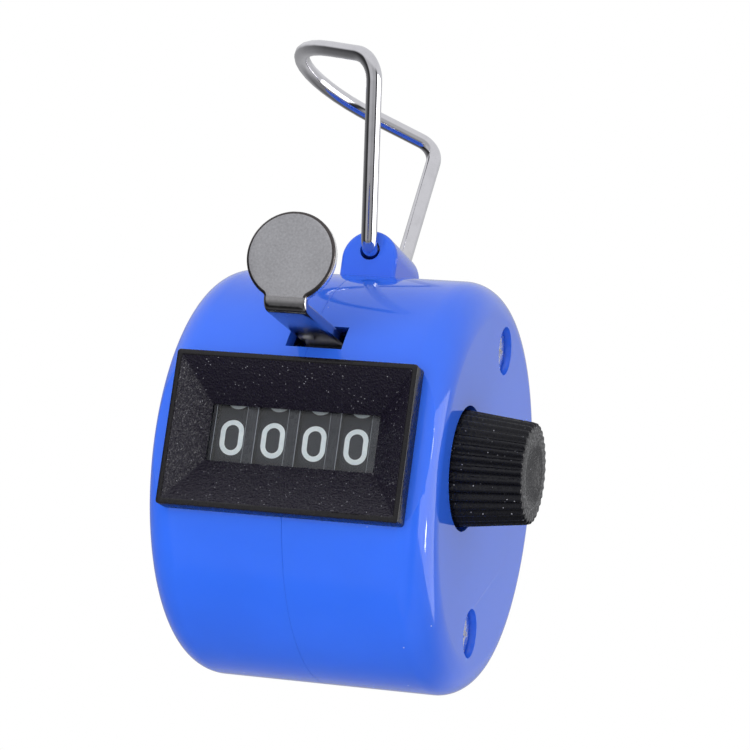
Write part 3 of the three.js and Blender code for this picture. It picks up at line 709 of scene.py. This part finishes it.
def bezel():
    """Frame with a smooth rim and textured slopes that lead in to the window."""
    outer_x, outer_z = BEZEL[1].x, BEZEL[1].z
    inner_x, inner_z = BEZEL_HOLE[0] - GAP, BEZEL_HOLE[1] - GAP
    front, back, lip, foot = BEZEL[0].y, LENS[0].y, LENS[0].y - 0.3, FLAT_Y + 0.01
    edge = 0.15

    def outer(inset, radius, y):
        return rounded_rectangle(outer_x - inset, outer_z - inset, radius, y)

    def window(outset, radius, y):
        return rounded_rectangle(half(WINDOW_X) + outset, half(WINDOW_Z) + outset, radius, y,
                                 (middle(WINDOW_X), middle(WINDOW_Z)))

    loops = [
        outer(0, 0.35, foot), outer(0, 0.35, front + edge), outer(edge * 0.3, 0.32, front + edge * 0.3),
        outer(edge, 0.25, front), outer(BEZEL_RIM - 0.06, 0.2, front),
        outer(BEZEL_RIM + 0.04, 0.18, front + 0.07),
        window(0.06, 0.2, lip - 0.02), window(0, 0.15, lip + 0.06), window(0, 0.15, back),
        rounded_rectangle(inner_x, inner_z, 0.6, back), rounded_rectangle(inner_x, inner_z, 0.6, foot),
    ]
    obj = finish_mesh("bezel_frame", loops_to_bm(loops, closed_along=True), BEZEL_BLACK, 25)
    combine(obj, [bezel_hook(side, inner_x, back) for side in (-1, 1)], "UNION")
    obj.data.materials.append(RIM_BLACK)
    for polygon in obj.data.polygons:
        x, y, z = (abs(c) for c in polygon.center / MM - Vector((SEAM_X, 0, 0)))
        on_rim = x > outer_x - BEZEL_RIM - 0.05 or z > outer_z - BEZEL_RIM - 0.05
        polygon.material_index = 1 if on_rim and y > -FLAT_Y else 0
    smooth(obj, 25)
    return place(obj, "case", "bezel", slot="bezel_black")


def window_pane():
    low, high = LENS
    pane = block((low.x, high.x), (low.y + 0.01, high.y - 0.01), (low.z, high.z))
    obj = finish_mesh("window_pane", pane, CLEAR)
    round_edges(obj, 0.12, 3, 40)
    return place(obj, "case", "window_lens", slot="lens_clear")


def wheel_middles():
    """x of each number wheel's digits, from the first and last wheel's boxes."""
    first = cad_box_mm("number_wheel_thousands")[0].x + WHEEL_LEFT
    last = cad_box_mm("number_wheel_units")[1].x - WHEEL_RIGHT
    pitch = (last - first) / (len(WHEELS) - 1)
    return [first + i * pitch for i in range(len(WHEELS))]


WHEEL_MIDDLES = wheel_middles()


def wheel_span(i):
    return WHEEL_MIDDLES[i] - WHEEL_LEFT, WHEEL_MIDDLES[i] + WHEEL_RIGHT


def digit_mask():
    """Dark mask behind the pane with a slot for each digit, whose rounded edges are painted light grey as a
    highlight.
    """
    low, high = COMB
    plate = block((low.x, high.x), (low.y + 0.01, high.y), (low.z, high.z))
    obj = finish_mesh("digit_mask", plate, COMB_GREY)
    obj.data.materials.append(COMB_PAINTED_HIGHLIGHT)
    slots = []
    for i in range(len(WHEELS)):
        left, right = wheel_span(i)
        slots.append(block((left + 0.2, right + 0.35), (-20, -17), (WINDOW_Z[0] + 0.12, WINDOW_Z[1] + 0.3)))
    combine(obj, slots, "DIFFERENCE")
    # the rounded slot edges take the painted highlight
    round_edges(obj, 0.05, 2, 40, material=1)
    return place(obj, "case", "digit_comb", slot="comb_black")


bezel()
window_pane()
digit_mask()


# Number wheels and their digits
DIGIT_H = 3.7
DIGIT_W = 2.5
STROKE = 0.53
DIGIT_LAG = 1.6  # degrees that the digits stand below the axis
DIGIT_SHIFT = -0.03  # x of the digits from the middle of their wheel
PRINT_DEPTH = 0.06
PRINT_HEIGHT = 0.03
A = (DIGIT_W - STROKE) / 2  # half width of the stroke's middle line
B = (DIGIT_H - STROKE) / 2  # half height of it


def strokes(digit):
    """Middle lines of a digit's strokes, as lists of (u, v) round its centre."""
    low, high = -B + A, B - A
    waist = 0.1
    if digit == 0:
        return [arc(0, high, A, 0, 180, 16) + arc(0, low, A, 180, 360, 16) + [(A, high)]]
    if digit == 1:
        return [[(-A * 0.55, B - 0.75), (0.1, B), (0.1, -B)]]
    if digit == 2:
        return [arc(0, high, A, 170, -35, 16) + [(-A, -B), (A, -B)]]
    if digit == 3:
        top, bottom = (B - waist) / 2, (B + waist) / 2
        return [arc(0, B - top, top, 160, -90, 14), arc(0, -B + bottom, bottom, 90, -160, 14)]
    if digit == 4:
        return [[(A * 0.45, -B), (A * 0.45, B), (-A, -B * 0.35), (A, -B * 0.35)]]
    if digit == 5:
        return [[(A * 0.9, B), (-A * 0.8, B), (-A * 0.9, waist * 2)] + arc(0, low + 0.12, A, 140, -155, 16)]
    if digit == 6:
        return [arc(0, low, A, 0, 360, 24), [(-A, low)] + arc(0, high, A, 180, 35, 12)]
    if digit == 7:
        return [[(-A, B), (A, B), (-A * 0.3, -B)]]
    if digit == 8:
        top, bottom = (B - waist) / 2, (B + waist) / 2
        return [arc(0, B - top, top, 0, 360, 20), arc(0, -B + bottom, bottom, 0, 360, 22)]
    return [arc(0, high, A, 0, 360, 24), [(A, high)] + arc(0, low, A, 0, -145, 12)]


def ribbon(bm, line, to_surface):
    """A closed low bar of the stroke's width along a line, laid on the wheel."""
    closed = (Vector(line[0]) - Vector(line[-1])).length < 1e-6
    points = [Vector(p) for p in (line[:-1] if closed else line)]
    count = len(points)
    sections = []
    for i, point in enumerate(points):
        before = points[i - 1] if (i > 0 or closed) else None
        after = points[(i + 1) % count] if (i < count - 1 or closed) else None
        ways = [(point - before).normalized()] if before is not None else []
        ways += [(after - point).normalized()] if after is not None else []
        way = sum(ways, Vector((0, 0))).normalized()
        cosine = max(0.5, way.dot(ways[0]))
        side = Vector((-way.y, way.x)) * (STROKE / 2 / cosine)
        stretch = Vector((0, 0))
        if before is None:
            stretch = -way * STROKE * 0.5
        if after is None:
            stretch = way * STROKE * 0.5
        outer, inner = point + stretch + side, point + stretch - side
        corners = [(outer, -PRINT_DEPTH), (outer, PRINT_HEIGHT), (inner, PRINT_HEIGHT), (inner, -PRINT_DEPTH)]
        sections.append([bm.verts.new(to_surface(*corner)) for corner in corners])
    pairs = list(zip(sections, sections[1:])) + ([(sections[-1], sections[0])] if closed else [])
    for a, b in pairs:
        for k in range(4):
            bm.faces.new((a[k], a[(k + 1) % 4], b[(k + 1) % 4], b[k]))
    if not closed:
        bm.faces.new(sections[0])
        bm.faces.new(sections[-1])


def toothed_ring(x, present):
    """Gear with only the teeth in present, and a bore, extruded along X."""
    root, tip = GEAR_R - DEDENDUM, GEAR_R + ADDENDUM
    half_root, half_tip = TOOTH_HALF_ROOT / root, TOOTH_HALF_TIP / tip
    outline = []
    for k in range(GEAR_TEETH):
        top = tip if k in present else root
        tooth = [(root, -half_root), (top, -half_tip), (top, half_tip), (root, half_root)]
        outline += [(r, 2 * math.pi * k / GEAR_TEETH + turn) for r, turn in tooth]
    outer = [(r * math.cos(angle), r * math.sin(angle)) for r, angle in outline]
    inner = [(BORE_R * math.cos(angle), BORE_R * math.sin(angle)) for _, angle in outline]
    loops = [[(at, AXIS_Y + y, AXIS_Z + z) for y, z in ring]
             for at, ring in ((x[0], inner), (x[0], outer), (x[1], outer), (x[1], inner))]
    return loops_to_bm(loops, closed_along=True)


def wheel_body(i):
    """Recessed wheel with its gears: a full one on the right and the carry teeth on the left."""
    left, right = wheel_span(i)
    web, rim = left + WHEEL_RECESS, WHEEL_R - WHEEL_RIM
    edge = 0.08
    profile = [(left, BORE_R), (left, WHEEL_HUB_R), (web, WHEEL_HUB_R), (web, rim), (left, rim),
               (left, WHEEL_R - edge), (left + edge, WHEEL_R), (right - edge, WHEEL_R),
               (right, WHEEL_R - edge), (right, BORE_R)]
    wheel = finish_mesh(f"wheel_{WHEELS[i]}", turned(profile, AXIS_Y, AXIS_Z, 180), WHEEL_GREY)
    gears = []
    if i < len(WHEELS) - 1:
        gears.append(toothed_ring((right - 0.2, right + GEAR_W), range(GEAR_TEETH)))
    if i > 0:
        gears.append(toothed_ring((left - GEAR_W, web + 0.1), CARRY_TEETH))
    combine(wheel, gears, "UNION")
    smooth(wheel, 35)
    return wheel


def wheel_digits(i):
    """The printed digits round a wheel, as thin raised bars."""
    bm = bmesh.new()
    for digit in range(10):
        centre = math.radians(180 + DIGIT_LAG + 36 * digit)

        def to_surface(point, lift, centre=centre):
            angle = centre - point.y / WHEEL_R
            radius = WHEEL_R + lift
            return (WHEEL_MIDDLES[i] + DIGIT_SHIFT + point.x, AXIS_Y + radius * math.cos(angle),
                    AXIS_Z + radius * math.sin(angle))

        for line in strokes(digit):
            ribbon(bm, line, to_surface)
    return finish_mesh(f"digits_{WHEELS[i]}", bm, WHITE, 30)


def number_wheel(i):
    body = f"{WHEELS[i]}_wheel"
    place(wheel_body(i), body, f"number_wheel_{WHEELS[i]}", slot="wheel_grey")
    place(wheel_digits(i), body, slot="wheel_grey")


for i in range(len(WHEELS)):
    number_wheel(i)


# Reset knob
def fluted_ring(x, trim, fluting, per_flute):
    """Ring of points round the tapered knob, cut in by trim, with flutes of a share of their depth."""
    share = (x - HALF_W) / (KNOB[1].x - HALF_W)
    base_r = KNOB[1].z - AXIS_Z
    radius = base_r + (KNOB_END_R - base_r) * share - trim
    count = FLUTES * per_flute
    points = []
    for k in range(count):
        valley = 0.5 + 0.5 * math.cos(2 * math.pi * k / per_flute)
        r = radius - FLUTE_DEPTH * fluting * valley
        angle = 2 * math.pi * k / count
        points.append((x, AXIS_Y + r * math.cos(angle), AXIS_Z + r * math.sin(angle)))
    return points


def reset_knob():
    """Fluted, tapered knob with a dished end, a hub inside the case and a blind bore for the axle."""
    per_flute = 12
    count = FLUTES * per_flute
    hub_end, end = KNOB[0].x, KNOB[1].x
    face = HALF_W - 0.7

    def round_loop(x, radius):
        return circle_x(x, radius, AXIS_Y, AXIS_Z, count)

    def fluted(x, trim, fluting):
        return fluted_ring(x, trim, fluting, per_flute)

    loops = [round_loop(KNOB_BORE_END, BORE_R), round_loop(hub_end, BORE_R), round_loop(hub_end, KNOB_HUB_R),
             round_loop(face, KNOB_HUB_R), fluted(face, 0, 1)]
    loops += [fluted(end - 0.35, 0, 1), fluted(end - 0.12, 0.06, 1), fluted(end - 0.02, 0.2, 0.9),
              fluted(end, 0.34, 0.7)]
    loops.append(round_loop(end, DISH_R + 0.25))
    for r in (DISH_R, 3.0, 2.5, 1.9, 1.2, 0.5):
        loops.append(round_loop(end - DISH_DEPTH * (1 - (r / DISH_R) ** 2), r))
    obj = finish_mesh("knob_fluted", loops_to_bm(loops, cap_start=True, cap_end=True), KNOB_BLACK, 50)
    return place(obj, "reset_shaft", "reset_knob", slot="knob_black")


reset_knob()


# Thumb lever: a strip that bends up in front of the case and widens into a round pad
BEND = LEVER_BEND_R + LEVER_T / 2  # radius of the bend's middle line
STRIP_START_Y = PIVOT_Y - 0.4
STRIP_LENGTH = STRIP_START_Y - (PAD_MID_Y + BEND)
BEND_LENGTH = BEND * math.pi / 2
BEND_END = STRIP_LENGTH + BEND_LENGTH
TO_PAD = BEND_END + PAD_Z - (LEVER_Z + BEND)  # distance from the root to the pad's centre
# slot looks: dark nickel on the rounded edges as painted shade, near-white nickel on the side wall as a
# painted highlight, darker polished nickel on the strip, partly painted shade
LEVER_PAINTED_SHADE, LEVER_PAINTED_HIGHLIGHT, LEVER_STRIP = 1, 2, 3  # material slots after the flats' own


def lever_rows(inset):
    """Rows along the strip, its outline moved in by inset: distance from the root and half width."""
    half_strip = half(LEVER_X)
    rows = [(STRIP_LENGTH * k / 10, half_strip - inset) for k in range(11)]
    rows += [(STRIP_LENGTH + BEND_LENGTH * k / 10, half_strip - inset) for k in range(1, 11)]
    # a small concave fillet leads from the strip's side to the pad
    fillet = 0.4
    centre_u = half_strip + fillet
    centre_s = TO_PAD - math.sqrt((PAD_R + fillet) ** 2 - centre_u ** 2)
    lean = math.asin(centre_u / (PAD_R + fillet))
    for k in range(1, 6):
        angle = (math.pi / 2 - lean) * k / 5
        s = centre_s + (fillet + inset) * math.sin(angle)
        rows.append((max(s, rows[-1][0] + 0.01), centre_u - (fillet + inset) * math.cos(angle)))
    steps = 44
    for k in range(1, steps + 1):
        angle = lean + (math.radians(176) - lean) * k / steps
        rows.append((TO_PAD - (PAD_R - inset) * math.cos(angle), (PAD_R - inset) * math.sin(angle)))
    return rows


def lever_middle(s):
    """Middle line at a distance from the root: y, z and the normal, which points up and then back."""
    if s <= STRIP_LENGTH:
        return STRIP_START_Y - s, LEVER_Z, 0.0, 1.0
    if s <= BEND_END:
        angle = (s - STRIP_LENGTH) / BEND
        return (PAD_MID_Y + BEND - BEND * math.sin(angle), LEVER_Z + BEND - BEND * math.cos(angle),
                math.sin(angle), math.cos(angle))
    return PAD_MID_Y, LEVER_Z + BEND + s - BEND_END, 1.0, 0.0


def lever_sheet(inset, offset, across=10):
    """Grid of points on the strip, at an offset from its middle surface and moved in from its outline."""
    centre_x = middle(LEVER_X)
    grid = []
    for s, half in lever_rows(inset):
        y, z, ny, nz = lever_middle(s)
        grid.append([(centre_x - half + 2 * half * j / across, y + ny * offset, z + nz * offset)
                     for j in range(across + 1)])
    return grid


def border(grid):
    """The grid's outer points, once round."""
    right = [line[-1] for line in grid[1:-1]]
    left = [line[0] for line in grid[-2:0:-1]]
    return [*grid[0], *right, *reversed(grid[-1]), *left]


def lever_blank():
    """The lever's strip and pad with rounded edges."""
    bm = bmesh.new()
    rings = []
    for side in (-1, 1):
        sheet = lever_sheet(LEVER_EDGE_R, side * LEVER_T / 2)
        grid = [[bm.verts.new(p) for p in line] for line in sheet]
        for a, b in zip(grid, grid[1:]):
            for j in range(len(a) - 1):
                bm.faces.new((a[j], a[j + 1], b[j + 1], b[j]))
        turns = [border(grid)]
        for degrees in (30, 60, 90):
            angle = math.radians(degrees)
            offset = side * (LEVER_T / 2 - LEVER_EDGE_R * (1 - math.cos(angle)))
            outline = border(lever_sheet(LEVER_EDGE_R * (1 - math.sin(angle)), offset))
            turns.append([bm.verts.new(p) for p in outline])
        rings += turns if side < 0 else turns[::-1]
    last_front = len(rings) // 2 - 1
    for k, (a, b) in enumerate(zip(rings, rings[1:])):
        for i in range(len(a)):
            j = (i + 1) % len(a)
            face = bm.faces.new((a[i], a[j], b[j], b[i]))
            # the side wall takes the painted highlight, the other rounded edges the painted shade
            face.material_index = LEVER_PAINTED_HIGHLIGHT if k == last_front else LEVER_PAINTED_SHADE
    return bm


def pawl_arm(y, z):
    """Arm that carries the pawl, from the pivot down to the rivet at (y, z)."""
    right = LEVER[1].x
    top = PIVOT_Z - 0.8
    outline = [*arc(y, z, ARM_R, 180, 360, 16), (PIVOT_Y + 1.5, top), (PIVOT_Y - 1.5, top)]
    return prism(outline, "x", right - ARM_T, right)


def thumb_lever():
    lever = finish_mesh("lever_pad", lever_blank(), SATIN)
    # painted shade on the edges, a painted highlight on the side wall, and the strip's darker polish, partly
    # painted shade
    for look in (NICKEL_PAINTED_SHADE, NICKEL_PAINTED_HIGHLIGHT, NICKEL):
        lever.data.materials.append(look)
    # the strip and its bend are polished all round, in a darker nickel that is partly painted shade
    for polygon in lever.data.polygons:
        if polygon.center.z < (LEVER_Z + BEND) * MM:
            polygon.material_index = LEVER_STRIP
    bore = PIVOT[1].z - PIVOT_Z + GAP
    left, right = LEVER_X[0], LEVER[1].x
    barrel = turned([(left, bore), (left, BARREL_R), (right, BARREL_R), (right, bore)], PIVOT_Y, PIVOT_Z, 64)
    rivet_low, rivet_high = cad_box_mm("pawl_rivet")
    y, z = middle((rivet_low.y, rivet_high.y)), middle((rivet_low.z, rivet_high.z))
    combine(lever, [barrel, pawl_arm(y, z)], "UNION")
    combine(lever, [rod_x(RIVET_HOLE_R, (right - 2, right + 1), y, z, 24)], "DIFFERENCE")
    smooth(lever, 35)
    keep_flats_flat(lever)
    return place(lever, "lever", "thumb_lever", slot="lever_nickel")


thumb_lever()


# Finger ring
RING_BENDS = [  # corner and bend radius, from one end in the lug to the other
    ((LUG_X, -3, RING_Z), 0), ((0.5, -5.9, RING_Z), 1.3), ((0.63, -13, 43.5), 2.9),
    ((-25.1, -0.2, 50.7), 10.8), ((0.95, 13, 41.6), 2.3), ((0.65, 5.9, RING_Z), 1.3), ((LUG_X, 3, RING_Z), 0),
]


def bent_line(bends, steps=14):
    """Points along straight runs joined by arcs."""
    points = [Vector(bends[0][0])]
    for (before, _), (corner, radius), (after, _) in zip(bends, bends[1:], bends[2:]):
        corner = Vector(corner)
        back, on = (Vector(before) - corner).normalized(), (Vector(after) - corner).normalized()
        half = back.angle(on) / 2
        reach = radius / math.tan(half)
        centre = corner + (back + on).normalized() * (radius / math.sin(half))
        start, end = corner + back * reach - centre, corner + on * reach - centre
        sweep = start.angle(end)
        for k in range(steps + 1):
            turn = sweep * k / steps
            points.append(centre + (start * math.sin(sweep - turn) + end * math.sin(turn)) / math.sin(sweep))
    points.append(Vector(bends[-1][0]))
    return points


def finger_ring():
    """The wire, swept round a circle along its bent line."""
    data = bpy.data.curves.new("ring_wire", "CURVE")
    data.dimensions = "3D"
    data.bevel_depth = WIRE_R * MM
    data.bevel_resolution = 8
    data.use_fill_caps = True
    points = bent_line(RING_BENDS)
    spline = data.splines.new("POLY")
    spline.points.add(len(points) - 1)
    for point, place_mm in zip(spline.points, points):
        point.co = (*row(*place_mm), 1)
    curve = bpy.data.objects.new("ring_wire", data)
    bpy.context.scene.collection.objects.link(curve)
    bpy.context.view_layer.update()
    graph = bpy.context.evaluated_depsgraph_get()
    mesh = bpy.data.meshes.new_from_object(curve.evaluated_get(graph))
    bpy.data.objects.remove(curve)
    mesh.name = "ring_wire"
    mesh.materials.clear()
    mesh.materials.append(CHROME)
    ring = bpy.data.objects.new("ring_wire", mesh)
    bpy.context.scene.collection.objects.link(ring)
    smooth(ring, 40)
    return place(ring, "ring", "finger_ring", slot="ring_chrome")


finger_ring()


# Case screws
def case_screw(name, z):
    """Cross-head screw with a low dome and a plain thread of ridges."""
    under, top = SCREW_UNDER_X, SCREW_TOP_X
    dome_height = 0.18
    tip_end = SCREW_TIP_X + 0.9
    profile = [(SCREW_TIP_X, 0), (tip_end, SCREW_R - 0.3)]
    for k in range(24):
        x = tip_end + 0.3 + k * 0.5
        profile += [(x, SCREW_R - 0.18), (x + 0.25, SCREW_R)]
    profile += [(under, SCREW_R), (under, SCREW_HEAD_R - 0.1), (under + 0.1, SCREW_HEAD_R)]
    for degrees in range(80, 0, -10):
        angle = math.radians(degrees)
        profile.append((top - dome_height * (1 - math.cos(angle)), SCREW_HEAD_R * math.sin(angle)))
    profile.append((top, 0))
    screw = finish_mesh(f"screw_{name}", turned(profile, 0, z, 64), SCREW)
    arm, half_arm, x = 1.25, 0.24, (top - 0.7, top + 1)
    recess = [block(x, (-arm, arm), (z - half_arm, z + half_arm)),
              block(x, (-half_arm, half_arm), (z - arm, z + arm))]
    combine(screw, recess, "DIFFERENCE")
    round_edges(screw, 0.04, 2, 50)
    return place(screw, "case", f"case_screw_{name}", slot="screw_steel")


case_screw("top", SCREW_Z)
case_screw("bottom", -SCREW_Z)


# The mechanism inside keeps its CAD shapes
INNER_LOOKS = {
    STEEL: ["frame_plate_left", "frame_plate_right", "frame_spacer_upper", "frame_spacer_lower",
            "pinion_shaft", "lever_pivot_pin", "wheel_axle", "axle_clip", "axle_washer", "drive_pawl",
            "pawl_rivet"],
    SPRING: ["lever_return_spring", "detent_spring"],
    ACETAL: ["ratchet_wheel", "carry_pinion_1", "carry_pinion_2", "carry_pinion_3"],
}
for look, nodes in INNER_LOOKS.items():
    for node in nodes:
        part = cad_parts[node]
        part.data.materials.clear()
        part.data.materials.append(look)
